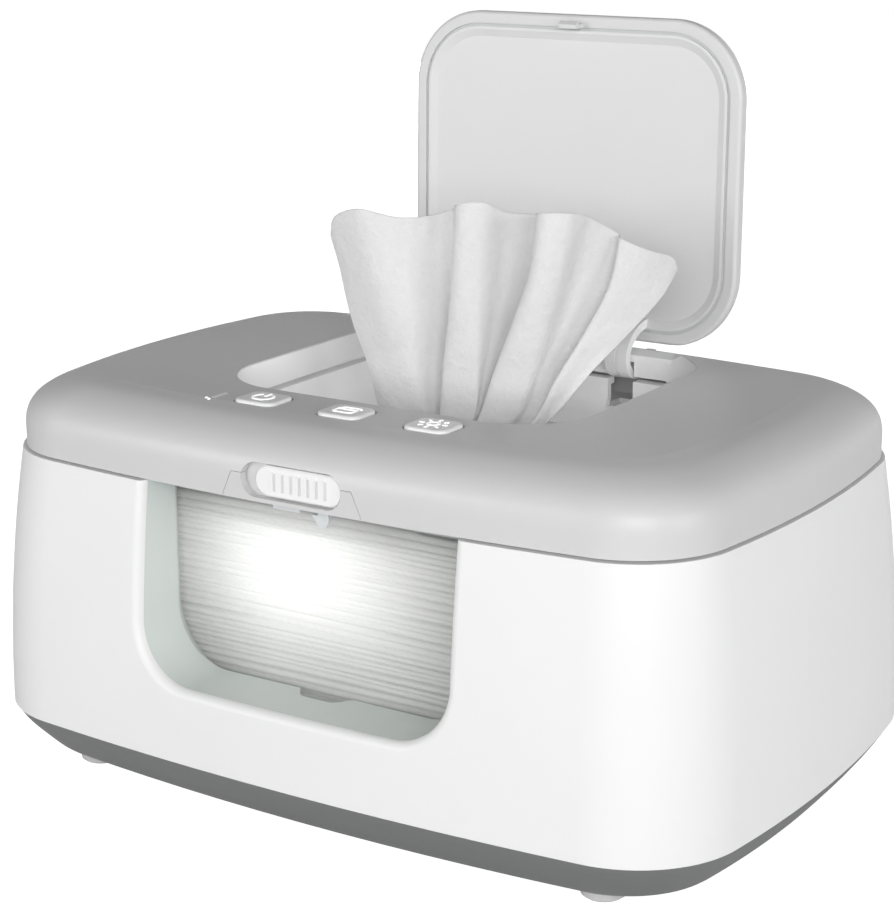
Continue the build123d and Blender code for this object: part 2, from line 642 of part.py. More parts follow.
def lid_outline(inset):
    middle = Pos(0, (LID_FRONT + LID_BACK) / 2)
    return middle * RectangleRounded(LID_WIDTH - 2 * inset, LID_LENGTH - 2 * inset, LID_RADIUS - inset)


def lid_block(inset, z):
    return extrude(Pos(0, 0, z[0]) * lid_outline(inset), z[1] - z[0])


def swung_open(shape):
    axis = Axis((0, LID_AXIS_Y, LID_AXIS_Z), (1, 0, 0))
    if isinstance(shape, list):
        return [solid.rotate(axis, -LID_OPEN_ANGLE) for solid in shape]
    return shape.rotate(axis, -LID_OPEN_ANGLE)


def lid_sweep():
    """Space that the rear edge of the lid passes through as it opens."""
    rise = LID_BOTTOM - LID_AXIS_Z
    rear = LID_AXIS_Y - sqrt((LID_SWEEP - LID_PLAY) ** 2 - rise ** 2)
    rim = lid_outline(-LID_PLAY) & Pos(0, rear - 20) * Rectangle(LID_WIDTH + 10, 40)
    axis = Axis((0, LID_AXIS_Y, LID_AXIS_Z), (-1, 0, 0))
    return revolve(Pos(0, 0, LID_BOTTOM) * rim, axis, 60)


def make_lid_outer():
    lid = lid_block(0, (LID_BOTTOM, COVER_TOP))
    lid = fillet(lid.faces().sort_by(Axis.Z)[-1].edges(), 2.8)
    lid = fillet(lid.faces().sort_by(Axis.Z)[0].edges(), 1.2)
    lid -= lid_block(LID_RIM, (LID_BOTTOM - 1, COVER_TOP - 2.0))
    lid -= cross_bar(LID_SWEEP, (-LID_WIDTH, LID_WIDTH), LID_AXIS_Y, LID_AXIS_Z)
    y = LID_FRONT + LID_TAB
    tab = [(y + 0.8, LID_BOTTOM + 0.6), (y + 0.8, 105.9), (y - 0.1, 105.9), (y - 0.1, 105.2),
           (y + 0.8, 104.2), (y + 2.0, 104.2), (y + 2.0, LID_BOTTOM + 0.6)]
    return swung_open(lid + side_profile(tab, (-3, 3)))


def make_lid_gasket():
    ring = lid_block(LID_RIM, (LID_BOTTOM + 0.7, LID_BOTTOM + 3.6))
    return swung_open(ring - lid_block(LID_RIM + GROOVE, (LID_BOTTOM, LID_BOTTOM + 5)))


def make_lid_inner_panel():
    """Lining of the lid, with a low bead round a shallow dish."""
    edge = LID_RIM + GROOVE
    panel = lid_block(edge, (LID_BOTTOM, COVER_TOP - 2.0))
    half = LID_WIDTH / 2 - edge - 0.8
    dish = Pos(0, (LID_FRONT + LID_BACK) / 2, LID_BOTTOM) * RectangleRounded(
        2 * half, LID_LENGTH - 2 * edge - 1.6, LID_RADIUS - edge - 0.8)
    return swung_open(panel - extrude(dish, 0.8, taper=70))


def arm_path(thickness, x):
    """Curved bar from the hinge pin, out through the slot and back to the lid, in the open pose."""
    centre = Spline([(LID_AXIS_Y, LID_AXIS_Z), (61.0, 105.4), (57.4, 107.4), (56.2, 111.4), (57.9, 115.2),
                     (62.3, 118.4), (68.4, 119.8)])
    plane = Plane((x[0], 0, 0), x_dir=(0, 1, 0), z_dir=(1, 0, 0))
    return extrude(plane * trace(centre, thickness), x[1] - x[0])


def make_lid_hinge_arms():
    half, rib = ARM_WIDTH / 2, 3.25
    arm = arm_path(ARM_THICKNESS, (ARM_X - half, ARM_X - half + rib))
    arm += arm_path(ARM_THICKNESS, (ARM_X + half - rib, ARM_X + half))
    arm += arm_path(ARM_THICKNESS - 1.0, (ARM_X - half + 1, ARM_X + half - 1))
    arm += cross_bar(2.9, (ARM_X - half, ARM_X + half), LID_AXIS_Y, LID_AXIS_Z)
    arm -= cross_bar(LID_PIN + PIN_PLAY, (ARM_X - half - 1, ARM_X + half + 1), LID_AXIS_Y, LID_AXIS_Z)
    return mirrored(arm - make_lid_inner_panel())


# ---------------------------------------------------------------- buttons, lid catch and slide latch
CAP_FOOT = SKIN_UNDER - 0.2
SLIDER_BACK = (-71.9, -70.6)


def button_cap(x):
    width, length = BUTTON_WIDTH, BUTTON_LENGTH
    cap = extrude(Pos(x, BUTTON_Y, CAP_FOOT) * RectangleRounded(width, length, 3.0), BUTTON_TOP - CAP_FOOT)
    cap = fillet(cap.faces().sort_by(Axis.Z)[-1].edges(), 0.9)
    flange = Pos(x, BUTTON_Y, CAP_FOOT - 1.2) * RectangleRounded(width + 2.4, length + 2.4, 3.6)
    return cap + extrude(flange, 1.2)


def make_switch_button(x):
    return button_cap(x) + upright(2.4, x, BUTTON_Y, (SWITCH_TOP + 0.7, CAP_FOOT - 1))


def make_release_button():
    """The middle button; its wedge drives the lid catch forward as it goes down."""
    wedge = [(-48.5, CAP_FOOT - 1), (-48.5, 105.2), (-49.4, 105.2), (-52.4, 108.2), (-52.4, CAP_FOOT - 1)]
    return button_cap(0) + side_profile(wedge, (-2.5, 2.5))


def make_release_springs():
    springs = []
    for x in (-6.3, 6.3):
        spring = upright(0.9, x, BUTTON_Y, (BOARD_TOP, CAP_FOOT - 1.2))
        for turn in range(4):
            spring += Pos(x, BUTTON_Y, BOARD_TOP + 0.6 + turn * 1.0) * Torus(0.95, 0.28)
        springs.append(spring)
    return springs


def make_lid_catch():
    low, high = CATCH_Z
    plate = block((-CATCH_HALF, CATCH_HALF), (-56.5, -41.2), CATCH_Z, 0.8)
    plate += block((-2.6, 2.6), (-42.2, LID_FRONT + LID_TAB + 0.5), CATCH_Z)
    driven = [(-47.0, low - 1), (-49.4, low - 1), (-52.8, high + 0.8), (-47.0, high + 0.8)]
    face = side_profile(driven, (-3.0, 3.0))
    return plate - face


def make_latch_slider():
    """Finger slide with short grip ribs, kept in the slot by the plate behind it."""
    middle = Pos(SLIDER_X, SLOT_Z)
    slider = front_plate(middle * SlotOverall(SLIDER_LENGTH, SLIDER_HEIGHT), (-75.0, SLIDER_BACK[0]))
    slider = chamfer(slider.faces().sort_by(Axis.Y)[0].edges(), 0.4)
    back = Pos(0, SLOT_Z) * SlotOverall(SLOT_LENGTH + 9, SLIDER_HEIGHT + 2.2)
    slider += front_plate(back, SLIDER_BACK)
    for rib in range(-3, 4):
        shape = Pos(SLIDER_X + rib * 2.7, SLOT_Z) * SlotOverall(5.4, 1.0, rotation=90)
        slider += front_plate(shape, (-75.5, -74.8))
    return slider


def make_latch_hook():
    left, right = HOOK_WEB
    shape = make_face(Polyline([(right, 98), (right, 90.2), (right - 1, 88.2), (left + 0.6, 88.2),
                                (left - 2, 91.4), (left, 91.4), (left, 98)], close=True))
    return front_plate(shape, (SLIDER_BACK[1], SLIDER_BACK[1] + 1.8))


# ---------------------------------------------------------------- the assembly
PARTS = {
    "outer_shell": make_outer_shell,
    "base_tray": make_base_tray,
    "rubber_feet": make_feet,
    "base_screws": make_base_screws,
    "cover_hinge_pins": make_cover_hinge_pins,
    "inner_tub": make_inner_tub,
    "window_frame": make_window_frame,
    "window_panel": make_window_panel,
    "window_gasket": make_window_gasket,
    "heater_plate": make_heater_plate,
    "heater_film": make_heater_film,
    "insulation_pad": make_insulation_pad,
    "thermostat": make_thermostat,
    "thermal_fuse": make_thermal_fuse,
    "power_board": make_power_board,
    "board_screws": make_board_screws,
    "dc_jack": make_dc_jack,
    "wipe_stack": make_wipe_stack,
    "top_cover": make_top_cover,
    "cover_liner": make_cover_liner,
    "dispenser_bowl": make_dispenser_bowl,
    "dispenser_seal": make_dispenser_seal,
    "cover_screws": make_cover_screws,
    "control_board": make_control_board,
    "tact_switches": make_tact_switches,
    "indicator_lens": make_indicator_lens,
    "light_board": make_light_board,
    "light_lens": make_light_lens,
    "latch_bezel": make_latch_bezel,
    "lid_hinge_pins": make_lid_hinge_pins,
    "lid_spring": make_lid_spring,
    "pulled_wipe": make_pulled_wipe,
    "lid_outer": make_lid_outer,
    "lid_inner_panel": make_lid_inner_panel,
    "lid_gasket": make_lid_gasket,
    "lid_hinge_arms": make_lid_hinge_arms,
    "power_button": lambda: make_switch_button(-BUTTON_X),
    "release_button": make_release_button,
    "light_button": lambda: make_switch_button(BUTTON_X),
    "release_springs": make_release_springs,
    "lid_catch": make_lid_catch,
    "latch_slider": make_latch_slider,
    "latch_hook": make_latch_hook,
}

os.makedirs("parts", exist_ok=True)
for name, make in PARTS.items():
    shape = make()
    if isinstance(shape, list):
        shape = Compound(children=shape)
    export_step(shape, f"parts/{name}.step")
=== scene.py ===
# %% [markdown]
# # A baby wipe warmer, dressed for the camera
# The solids of the warmer arrive with their places and hinges already right. This script
# lights them, gives every moulding its finish, and models the soft things that a solid
# modeller does badly: the stack of folded wipes and the wipe that stands in the opening.
# The frame is loaded first, so that every size below can be read from it.

# %% Load the frame
import json
import math
import random

import bmesh
import bpy
from mathutils import Matrix, Vector

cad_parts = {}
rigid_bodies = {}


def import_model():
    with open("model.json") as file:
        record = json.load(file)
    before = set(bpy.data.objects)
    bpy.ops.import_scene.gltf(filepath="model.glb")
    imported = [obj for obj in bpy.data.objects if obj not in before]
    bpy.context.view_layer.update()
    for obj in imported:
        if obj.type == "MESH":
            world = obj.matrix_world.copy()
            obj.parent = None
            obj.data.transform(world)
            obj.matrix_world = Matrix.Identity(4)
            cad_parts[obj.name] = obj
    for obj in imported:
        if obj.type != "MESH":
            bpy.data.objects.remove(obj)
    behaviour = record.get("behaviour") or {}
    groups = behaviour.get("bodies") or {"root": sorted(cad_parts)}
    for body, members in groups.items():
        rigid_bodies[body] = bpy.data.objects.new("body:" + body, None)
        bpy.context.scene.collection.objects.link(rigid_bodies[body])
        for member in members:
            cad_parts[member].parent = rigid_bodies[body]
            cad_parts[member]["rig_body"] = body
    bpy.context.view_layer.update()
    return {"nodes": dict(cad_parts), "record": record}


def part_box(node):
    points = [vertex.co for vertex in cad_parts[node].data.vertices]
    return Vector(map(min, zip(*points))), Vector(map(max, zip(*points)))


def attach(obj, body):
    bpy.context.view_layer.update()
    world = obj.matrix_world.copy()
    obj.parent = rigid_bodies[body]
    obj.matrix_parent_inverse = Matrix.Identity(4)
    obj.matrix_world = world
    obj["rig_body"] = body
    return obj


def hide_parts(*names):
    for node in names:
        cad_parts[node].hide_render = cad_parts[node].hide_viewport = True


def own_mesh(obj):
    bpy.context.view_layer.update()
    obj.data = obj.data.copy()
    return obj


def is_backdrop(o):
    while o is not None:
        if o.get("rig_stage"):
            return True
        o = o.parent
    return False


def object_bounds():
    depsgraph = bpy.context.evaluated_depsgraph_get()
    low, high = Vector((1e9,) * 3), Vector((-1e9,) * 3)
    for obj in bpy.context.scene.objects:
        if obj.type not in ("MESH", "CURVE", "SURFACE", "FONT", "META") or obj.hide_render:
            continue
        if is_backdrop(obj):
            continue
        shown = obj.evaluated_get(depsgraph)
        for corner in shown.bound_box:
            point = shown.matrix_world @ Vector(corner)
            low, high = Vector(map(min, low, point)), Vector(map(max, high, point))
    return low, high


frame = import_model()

MM = 0.001
nodes = frame["nodes"]


def mm(*values):
    """A point written in millimetres, in the scene's metres."""
    return Vector(values) * MM


def add_object(name, data):
    """Put a new object with this data in the scene."""
    thing = bpy.data.objects.new(name, data)
    bpy.context.scene.collection.objects.link(thing)
    return thing


def looking(place, direction, roll=0.0):
    """The matrix of a camera or a lamp that stands at a place and looks along a direction."""
    turn = direction.to_track_quat("-Z", "Y").to_matrix() @ Matrix.Rotation(roll, 3, "Z")
    return Matrix.Translation(place) @ turn.to_4x4()


# %% [markdown]
# ## Camera
# A product view from the right of the front, a little above the table. A long lens keeps
# the sides of the tub nearly parallel. The camera is placed by a point and a direction, and
# rolls by a fraction of a degree about its line of sight, as a camera on a tripod often does.

# %% Camera
CAMERA_PLACE = mm(342.59, -531.73, 262.78)
LINE_OF_SIGHT = Vector((-0.52342, 0.81081, -0.26194))
CAMERA_ROLL = math.radians(-0.21)
SENSOR_HEIGHT = 36
FOCAL_LENGTH = 91.31
NEAREST_SEEN = 0.01

camera_data = bpy.data.cameras.new("product_camera")
camera_data.sensor_fit = "VERTICAL"
camera_data.sensor_height = SENSOR_HEIGHT
camera_data.lens = FOCAL_LENGTH
camera_data.clip_start = NEAREST_SEEN
camera = add_object("product_camera", camera_data)
camera.matrix_world = looking(CAMERA_PLACE, LINE_OF_SIGHT, CAMERA_ROLL)
bpy.context.scene.camera = camera
print("camera at", [round(v, 3) for v in CAMERA_PLACE])

# %% [markdown]
# ## Shader maths that reads like maths
# Every finish below is a few noises added and multiplied together. Adding Math nodes by hand
# hides the sum in a web of links, so one small class wraps an output socket and lets the sum
# be written as an expression. Everything else comes from one method that adds a node, sets
# it up and connects it.


# %% Shader helpers
class Channel:
    """One output of a shader node. Sums, products and comparisons of it add Math nodes."""

    def __init__(self, recipe, socket):
        self.recipe = recipe
        self.socket = socket

    def reckon(self, operation, *others):
        """One Math node, with this channel first and the others after it."""
        return self.recipe.maths(operation, self, *others)

    def __add__(self, other):
        return self.reckon("ADD", other)

    def __sub__(self, other):
        return self.reckon("SUBTRACT", other)

    def __rsub__(self, other):
        return self.recipe.maths("SUBTRACT", other, self)

    def __mul__(self, other):
        return self.reckon("MULTIPLY", other)

    def __truediv__(self, other):
        return self.reckon("DIVIDE", other)

    def __pow__(self, other):
        return self.reckon("POWER", other)

    def __abs__(self):
        return self.reckon("ABSOLUTE")

    def __lt__(self, other):
        return self.reckon("LESS_THAN", other)

    def __gt__(self, other):
        return self.reckon("GREATER_THAN", other)

    __radd__ = __add__

    def split(self):
        """The X, Y and Z of a vector."""
        separate = self.recipe.node("ShaderNodeSeparateXYZ", inputs={0: self}).socket.node
        return [Channel(self.recipe, output) for output in separate.outputs]

    def rise(self, first, last, top=1.0, kind="LINEAR"):
        """0 up to first, top from last on, and a slope between them."""
        ends = {1: first, 2: last, 3: 0.0, 4: top}
        return self.recipe.node("ShaderNodeMapRange", {"interpolation_type": kind},
                                {0: self, **ends})


class Recipe:
    """A node tree that is filled by code."""

    def __init__(self, tree):
        self.tree = tree

    def node(self, kind, settings=None, inputs=None, output=0):
        """Add a node, set it up, connect its inputs and return one of its outputs."""
        new = self.tree.nodes.new(kind)
        for name, value in (settings or {}).items():
            setattr(new, name, value)
        for name, value in (inputs or {}).items():
            self.put(new.inputs[name], value)
        return Channel(self, new.outputs[output])

    def put(self, socket, value):
        """Connect a channel to a socket, or set the socket to a constant."""
        if isinstance(value, Channel):
            self.tree.links.new(value.socket, socket)
        else:
            socket.default_value = value

    def maths(self, operation, *values):
        return self.node("ShaderNodeMath", {"operation": operation}, dict(enumerate(values)))


def tone(red, green=None, blue=None):
    """A colour as it looks on a screen, 0 to 255, as the linear colour that shaders use."""
    levels = (red, red if green is None else green, red if blue is None else blue)
    return tuple((v / 255) ** 2.2 for v in levels) + (1.0,)


def shaded(colour, factor):
    """The colour, made lighter or darker."""
    return tuple(c * factor for c in colour[:3]) + (1.0,)


class Finish(Recipe):
    """A material with its Principled shader."""

    def __init__(self, name):
        self.material = bpy.data.materials.new(name)
        self.material.use_nodes = True
        super().__init__(self.material.node_tree)
        self.shader = self.tree.nodes["Principled BSDF"]

    def set(self, inputs):
        for name, value in inputs.items():
            self.put(self.shader.inputs[name], value)

    def place(self):
        """Where a point is on the object, in metres."""
        return self.node("ShaderNodeTexCoord", output="Object")

    def pointing(self):
        """Which way the surface points at a place, in the object's own axes."""
        return self.node("ShaderNodeTexCoord", output="Normal")

    def stretched(self, x, y, z):
        """The place, measured in units of x, y and z along the three axes."""
        scale = Vector((1 / x, 1 / y, 1 / z))
        return self.node("ShaderNodeMapping", inputs={"Vector": self.place(), "Scale": scale})

    def noise(self, size, detail=2.0, roughness=0.5):
        """Cloudy noise, 0 to 1, whose lumps are about this many metres across."""
        return self.node("ShaderNodeTexNoise", inputs={
            "Vector": self.place(), "Scale": 1 / size, "Detail": detail, "Roughness": roughness})

    def mix(self, factor, first, second):
        """The first colour where the factor is 0, the second where it is 1."""
        inputs = {0: factor, 6: first, 7: second}
        return self.node("ShaderNodeMix", {"data_type": "RGBA"}, inputs, output=2)

    def bump(self, height, distance):
        """A surface that seems raised by up to this distance where the height is 1."""
        return self.node("ShaderNodeBump", inputs={"Height": height, "Distance": distance})


WHITE = tone(255)
BLACK = tone(0)
print("shader helpers ready")

# %% [markdown]
# ## Floor and background
# The warmer stands on a white sweep. If the floor were only lit, it would turn grey behind
# the object, because the lamps are kept low enough for white plastic to keep its shading.
# So rays that come straight from the camera or through a clear pane see the sweep as white,
# and a gloss sees a part of that. The light that reaches the floor is added to this, and
# where the warmer keeps it off, near the feet, a soft shadow stays.

# %% Floor and world
FLOOR_HALF = 4.0
FLOOR_CELLS = 8
FLOOR_GLOW = 0.9
DAYLIGHT = 0.13
SHARE_IN_GLOSS = 0.2


def is_seen(recipe):
    """1 for rays that look at the background, 0 for the light it throws, between for a gloss."""
    path = recipe.node("ShaderNodeLightPath").socket.node
    names = ("Is Camera Ray", "Is Transmission Ray", "Is Glossy Ray")
    camera_ray, through_ray, gloss_ray = (Channel(recipe, path.outputs[name]) for name in names)
    return camera_ray.reckon("MAXIMUM", through_ray).reckon("MAXIMUM", gloss_ray * SHARE_IN_GLOSS)


floor_mesh = bmesh.new()
bmesh.ops.create_grid(floor_mesh, x_segments=FLOOR_CELLS, y_segments=FLOOR_CELLS, size=FLOOR_HALF)
floor_data = bpy.data.meshes.new("floor")
floor_mesh.to_mesh(floor_data)
floor_mesh.free()
floor = add_object("floor", floor_data)
floor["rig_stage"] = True

sweep = Finish("white_sweep")
sweep.set({
    "Base Color": tone(215),
    "Roughness": 0.9,
    "Specular IOR Level": 0.0,
    "Emission Color": sweep.mix(is_seen(sweep), BLACK, WHITE),
    "Emission Strength": FLOOR_GLOW,
})
floor_data.materials.append(sweep.material)

world = bpy.data.worlds.new("studio")
world.use_nodes = True
bpy.context.scene.world = world
sky = Recipe(world.node_tree)
background = world.node_tree.nodes["Background"]
background.inputs["Color"].default_value = WHITE
sky.put(background.inputs["Strength"], is_seen(sky) * (1 - DAYLIGHT) + DAYLIGHT)
bpy.context.scene.view_settings.view_transform = "Standard"
print("floor", 2 * FLOOR_HALF, "m wide")

# %% [markdown]
# ## Lamps
# The key is a large soft lamp that stands far behind the camera, almost on its line of sight.
# The upright walls that face the viewer are the lightest planes, the flat top falls back to a
# middle grey, and the shadows hide behind what throws them. Two weaker lamps fill the left of
# the front and the right side. Two more stand behind, so that the back isn't dull when the
# view turns. They are kept out of the glosses, where they would draw bright stripes on the
# rounded cover.

# %% Lamps
LAMPS_AIM = (0.0, 0.0, 0.07)
# Name, place in metres, width and height in metres, power in watts, whether a gloss shows it.
LAMPS = (
    ("key_softbox", (1.1, -1.6, 0.62), (1.3, 0.9), 24.0, True),
    ("front_left_softbox", (-1.1, -1.6, 0.5), (0.9, 0.7), 12.0, True),
    ("right_softbox", (1.85, -0.3, 0.4), (0.9, 0.8), 9.0, True),
    ("back_left_softbox", (-1.3, 1.6, 0.28), (0.9, 0.5), 18.0, False),
    ("back_right_softbox", (0.5, 1.95, 0.28), (0.9, 0.5), 13.0, False),
)
for name, place, (width, height), power, in_gloss in LAMPS:
    light = bpy.data.lights.new(name, "AREA")
    light.shape = "RECTANGLE"
    light.size, light.size_y = width, height
    light.energy = power
    lamp = add_object(name, light)
    lamp.matrix_world = looking(Vector(place), Vector(LAMPS_AIM) - Vector(place))
    lamp.visible_glossy = in_gloss
print("lamps:", len(LAMPS))

# %% [markdown]
# ## Moulded plastic
# Almost everything here is injection moulded. Such a wall is never one flat colour: it
# drifts by a percent or two over centimetres, its gloss varies with how the steel was
# polished, and spark-eroded steel leaves a fine grain. One recipe makes all of them from a
# colour, a gloss and the size and depth of that grain. A tint may then change the colour in
# one region, and extra sets whatever else one plastic needs.

# %% Moulded plastic
CLOUD_SIZE = 45 * MM
GLOSS_DRIFT = 0.10
GLOSS_GRAIN = 0.06


def moulded(name, colour, gloss, grain=0.7 * MM, depth=0.010 * MM, drift=0.02, tint=None,
            extra=None):
    """Plastic with a slow drift of colour, an uneven gloss and a fine grain."""
    finish = Finish(name)
    cloud = finish.noise(CLOUD_SIZE, 3.0)
    fine = finish.noise(grain, 2.0, 0.6)
    body = finish.mix(cloud, shaded(colour, 1 - drift), shaded(colour, 1 + drift))
    finish.set({
        "Base Color": tint(finish, body) if tint else body,
        "Roughness": gloss + (cloud - 0.5) * GLOSS_DRIFT + (fine - 0.5) * GLOSS_GRAIN,
        "Normal": finish.bump(fine, depth),
    })
    finish.set(extra or {})
    return finish.material


def cover_with(node, material):
    """Give a solid this material alone."""
    data = nodes[node].data
    data.materials.clear()
    data.materials.append(material)


def dress(slot, material):
    """Give the material to every solid of this slot."""
    for entry in frame["record"]["subparts"]:
        if entry["material_slot"] == slot:
            cover_with(entry["node"], material)


# %% [markdown]
# ## Mouldings with painted light and shade
# Four mouldings have a second tone, painted on as light and shade. The cover's skin is grey, but
# its recess is painted as pale as the bowl in it, as painted light. The lid is the white of the
# shell outside, and its rim and inside are painted greyer, as painted shade. The bowl is at its
# whitest where it looks up, with a faint painted glow, and its underside is painted greyer, as
# painted shade. A thin painted shadow lies beside each rib of the finger slide. Each tint picks
# its region by where a point is on the object, or by which way the surface points there.

# %% Tints
RECESS_MIDDLE = 10.1 * MM
RECESS_HALF_WIDTH = 56.8 * MM
RECESS_HALF_LENGTH = 49.1 * MM
RECESS_BRIM = 113.3 * MM
# Painted light: the recess walls are painted paler than the cover's grey.
RECESS_PAINTED_LIGHT_TONE = tone(246)
LID_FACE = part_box("lid_outer")[1].y
LID_FACE_START = 3.2 * MM
LID_FACE_END = 2.6 * MM
LID_FACE_TONE = tone(240)
FACING_DOWN = -0.3
# Painted shade for the underside of the bowl.
UNDERSIDE_PAINTED_SHADE_TONE = tone(226)
RIB_MIDDLE = 2.0 * MM
RIB_PITCH = 2.7 * MM
RIBS_HALF_WIDTH = 3.6 * RIB_PITCH
slide_low, slide_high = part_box("latch_slider")
RIB_HEIGHT = (slide_low.z + slide_high.z) / 2
RIB_HALF_LENGTH = 2.4 * MM
SHADOW_PLACE = 0.76
SHADOW_HALF_WIDTH = 0.13
SLIDER_TONE = tone(244)
SHADOW_TONE = shaded(SLIDER_TONE, 0.84)


def painted_light_in_recess(finish, body):
    """The recess for the lid is painted paler than the skin round it, as painted light on its
    walls.
    """
    across, deep, up = finish.place().split()
    inside = ((abs(across) < RECESS_HALF_WIDTH)
              * (abs(deep - RECESS_MIDDLE) < RECESS_HALF_LENGTH)
              * (up < RECESS_BRIM))
    return finish.mix(inside, body, RECESS_PAINTED_LIGHT_TONE)


def white_outside_painted_shade_inside(finish, body):
    """The lid's outer face is the white of the shell; its rim and its inside are painted greyer,
    as painted shade on the same white plastic.
    """
    deep = finish.place().split()[1]
    outside = deep.rise(LID_FACE - LID_FACE_START, LID_FACE - LID_FACE_END)
    return finish.mix(outside, body, LID_FACE_TONE)


def painted_glow_and_underside_shade(finish, body):
    """The bowl has a faint painted glow on all sides but the one that looks down, which is
    painted greyer as shade.
    """
    below = finish.pointing().split()[2] < FACING_DOWN
    finish.set({"Emission Color": finish.mix(below, WHITE, BLACK)})
    return finish.mix(below, body, UNDERSIDE_PAINTED_SHADE_TONE)


def shade_between_ribs(finish, body):
    """Seven ribs cross the slide, and a thin shadow lies along the right side of each."""
    across, _, up = finish.place().split()
    share = ((across - RIB_MIDDLE) * (1 / RIB_PITCH) + 0.5).reckon("FRACT")
    beside = share.reckon("COMPARE", SHADOW_PLACE, SHADOW_HALF_WIDTH)
    among = ((abs(across - RIB_MIDDLE) < RIBS_HALF_WIDTH)
             * (abs(up - RIB_HEIGHT) < RIB_HALF_LENGTH))
    return finish.mix(beside * among, body, SHADOW_TONE)


print("tints: 4")

# %% [markdown]
# ## The plastics
# Each line is one plastic: its colour, its gloss and what sets it apart. The shell is a soft
# white, the cover a light grey with a little more gloss, and the base a dark grey that makes
# the tub seem to float. The bowl shares its slot with the cover's lining, but it lies in the
# open, so it gets a plastic of its own.

# %% Plastics
PLASTICS = {
    "shell_white": dict(colour=tone(240), gloss=0.42, extra={"Specular IOR Level": 0.35}),
    # The cover's recess gets a painted light from its tint.
    "cover_grey": dict(colour=tone(211), gloss=0.36, tint=painted_light_in_recess,
                       extra={"Specular IOR Level": 0.4}),
    "bezel_grey": dict(colour=tone(211), gloss=0.36, extra={"Specular IOR Level": 0.4}),
    "base_grey": dict(colour=tone(118, 119, 119), gloss=0.4, depth=0.02 * MM),
    "tub_plastic": dict(colour=tone(214, 217, 219), gloss=0.4),
    "frame_plastic": dict(colour=tone(214, 221, 218), gloss=0.22),
    "lining_plastic": dict(colour=tone(232), gloss=0.4),
    # The lid's greyer tone is painted shade on white plastic; its tint sets the outer face to
    # white.
    "lid_plastic": dict(colour=tone(216), gloss=0.4, tint=white_outside_painted_shade_inside),
    "panel_plastic": dict(colour=tone(222), gloss=0.4),
    "arm_white": dict(colour=tone(246), gloss=0.25),
    "button_white": dict(colour=tone(246), gloss=0.3),
    "slider_white": dict(colour=SLIDER_TONE, gloss=0.45, depth=0.002 * MM, drift=0.01,
                         tint=shade_between_ribs),
    "hook_clear": dict(colour=tone(215, 219, 220), gloss=0.2),
    "lens_frosted": dict(colour=tone(236, 238, 240), gloss=0.3),
    "jack_black": dict(colour=tone(38, 38, 40), gloss=0.35),
    "switch_black": dict(colour=tone(48, 48, 50), gloss=0.5),
    "sensor_ceramic": dict(colour=tone(72, 66, 62), gloss=0.6, grain=0.4 * MM, depth=0.03 * MM),
}
for slot, recipe in PLASTICS.items():
    dress(slot, moulded(slot, **recipe))
# The bowl gets a faint painted glow, and its underside a painted shade, from its tint.
bowl_plastic = moulded("bowl_plastic", tone(240), 0.4, tint=painted_glow_and_underside_shade,
                       extra={"Emission Strength": 0.08})
cover_with("dispenser_bowl", bowl_plastic)
print("plastics:", len(PLASTICS) + 1)

# %% [markdown]
# ## Rubber and silicone
# Feet, gasket and seal are soft. Silicone is duller than plastic and lets some light in, so
# its recipe has a high roughness, a coarser bloom and a little subsurface scatter.


# %% Rubber and silicone
def silicone(name, colour, scatter):
    """Silicone with a dusty bloom; scatter is how much light it lets in."""
    finish = Finish(name)
    bloom = finish.noise(6 * MM, 4.0, 0.6)
    finish.set({
        "Base Color": finish.mix(bloom, shaded(colour, 0.93), shaded(colour, 1.03)),
        "Roughness": 0.55 + bloom * 0.25,
        "Normal": finish.bump(finish.noise(0.5 * MM), 0.02 * MM),
        "Subsurface Weight": scatter,
        "Subsurface Radius": (1.0, 1.0, 1.0),
        "Subsurface Scale": 2 * MM,
    })
    return finish.material


SILICONES = {
    "foot_rubber": (tone(198), 0.3),
    "gasket_silicone": (tone(206, 208, 208), 0.1),
    "seal_silicone": (tone(214), 0.3),
}
for slot, (colour, scatter) in SILICONES.items():
    dress(slot, silicone(slot, colour, scatter))
print("silicones:", len(SILICONES))

# %% [markdown]
# ## Metal
# The screws, pins, springs, the heater plate and the fuse are metal. Drawn wire and rolled
# plate are scratched along one direction, so the noise is stretched along it, and it moves
# the roughness more than the colour.


# %% Metal
def metal(name, colour, roughness, streak):
    """Metal with fine streaks; streak is a streak's size in millimetres along X, Y and Z."""
    finish = Finish(name)
    unit = finish.stretched(*(length * MM for length in streak))
    lines = finish.node("ShaderNodeTexNoise",
                        inputs={"Vector": unit, "Scale": 1.0, "Detail": 4.0})
    finish.set({
        "Base Color": finish.mix(lines, shaded(colour, 0.88), shaded(colour, 1.06)),
        "Metallic": 1.0,
        "Roughness": roughness + (lines - 0.5) * 0.25,
        "Normal": finish.bump(lines, 0.006 * MM),
    })
    return finish.material


METALS = {
    "screw_steel": (tone(196, 196, 200), 0.38, (0.5, 0.5, 0.12)),
    "pin_steel": (tone(206, 206, 210), 0.25, (6.0, 0.2, 0.2)),
    "spring_steel": (tone(190, 190, 194), 0.3, (0.3, 0.3, 0.3)),
    "heater_metal": (tone(206, 208, 210), 0.35, (30.0, 0.4, 0.4)),
    "fuse_metal": (tone(204, 200, 190), 0.35, (0.3, 4.0, 0.3)),
}
for slot, (colour, roughness, streak) in METALS.items():
    dress(slot, metal(slot, colour, roughness, streak))
print("metals:", len(METALS))

# %% [markdown]
# ## Heater film, insulating felt and circuit boards
# These sit inside, and show when the warmer is taken apart. The film is amber with a
# copper track that runs to and fro, the felt is a mat of short fibres, and a board is
# solder mask over a grid of tracks.


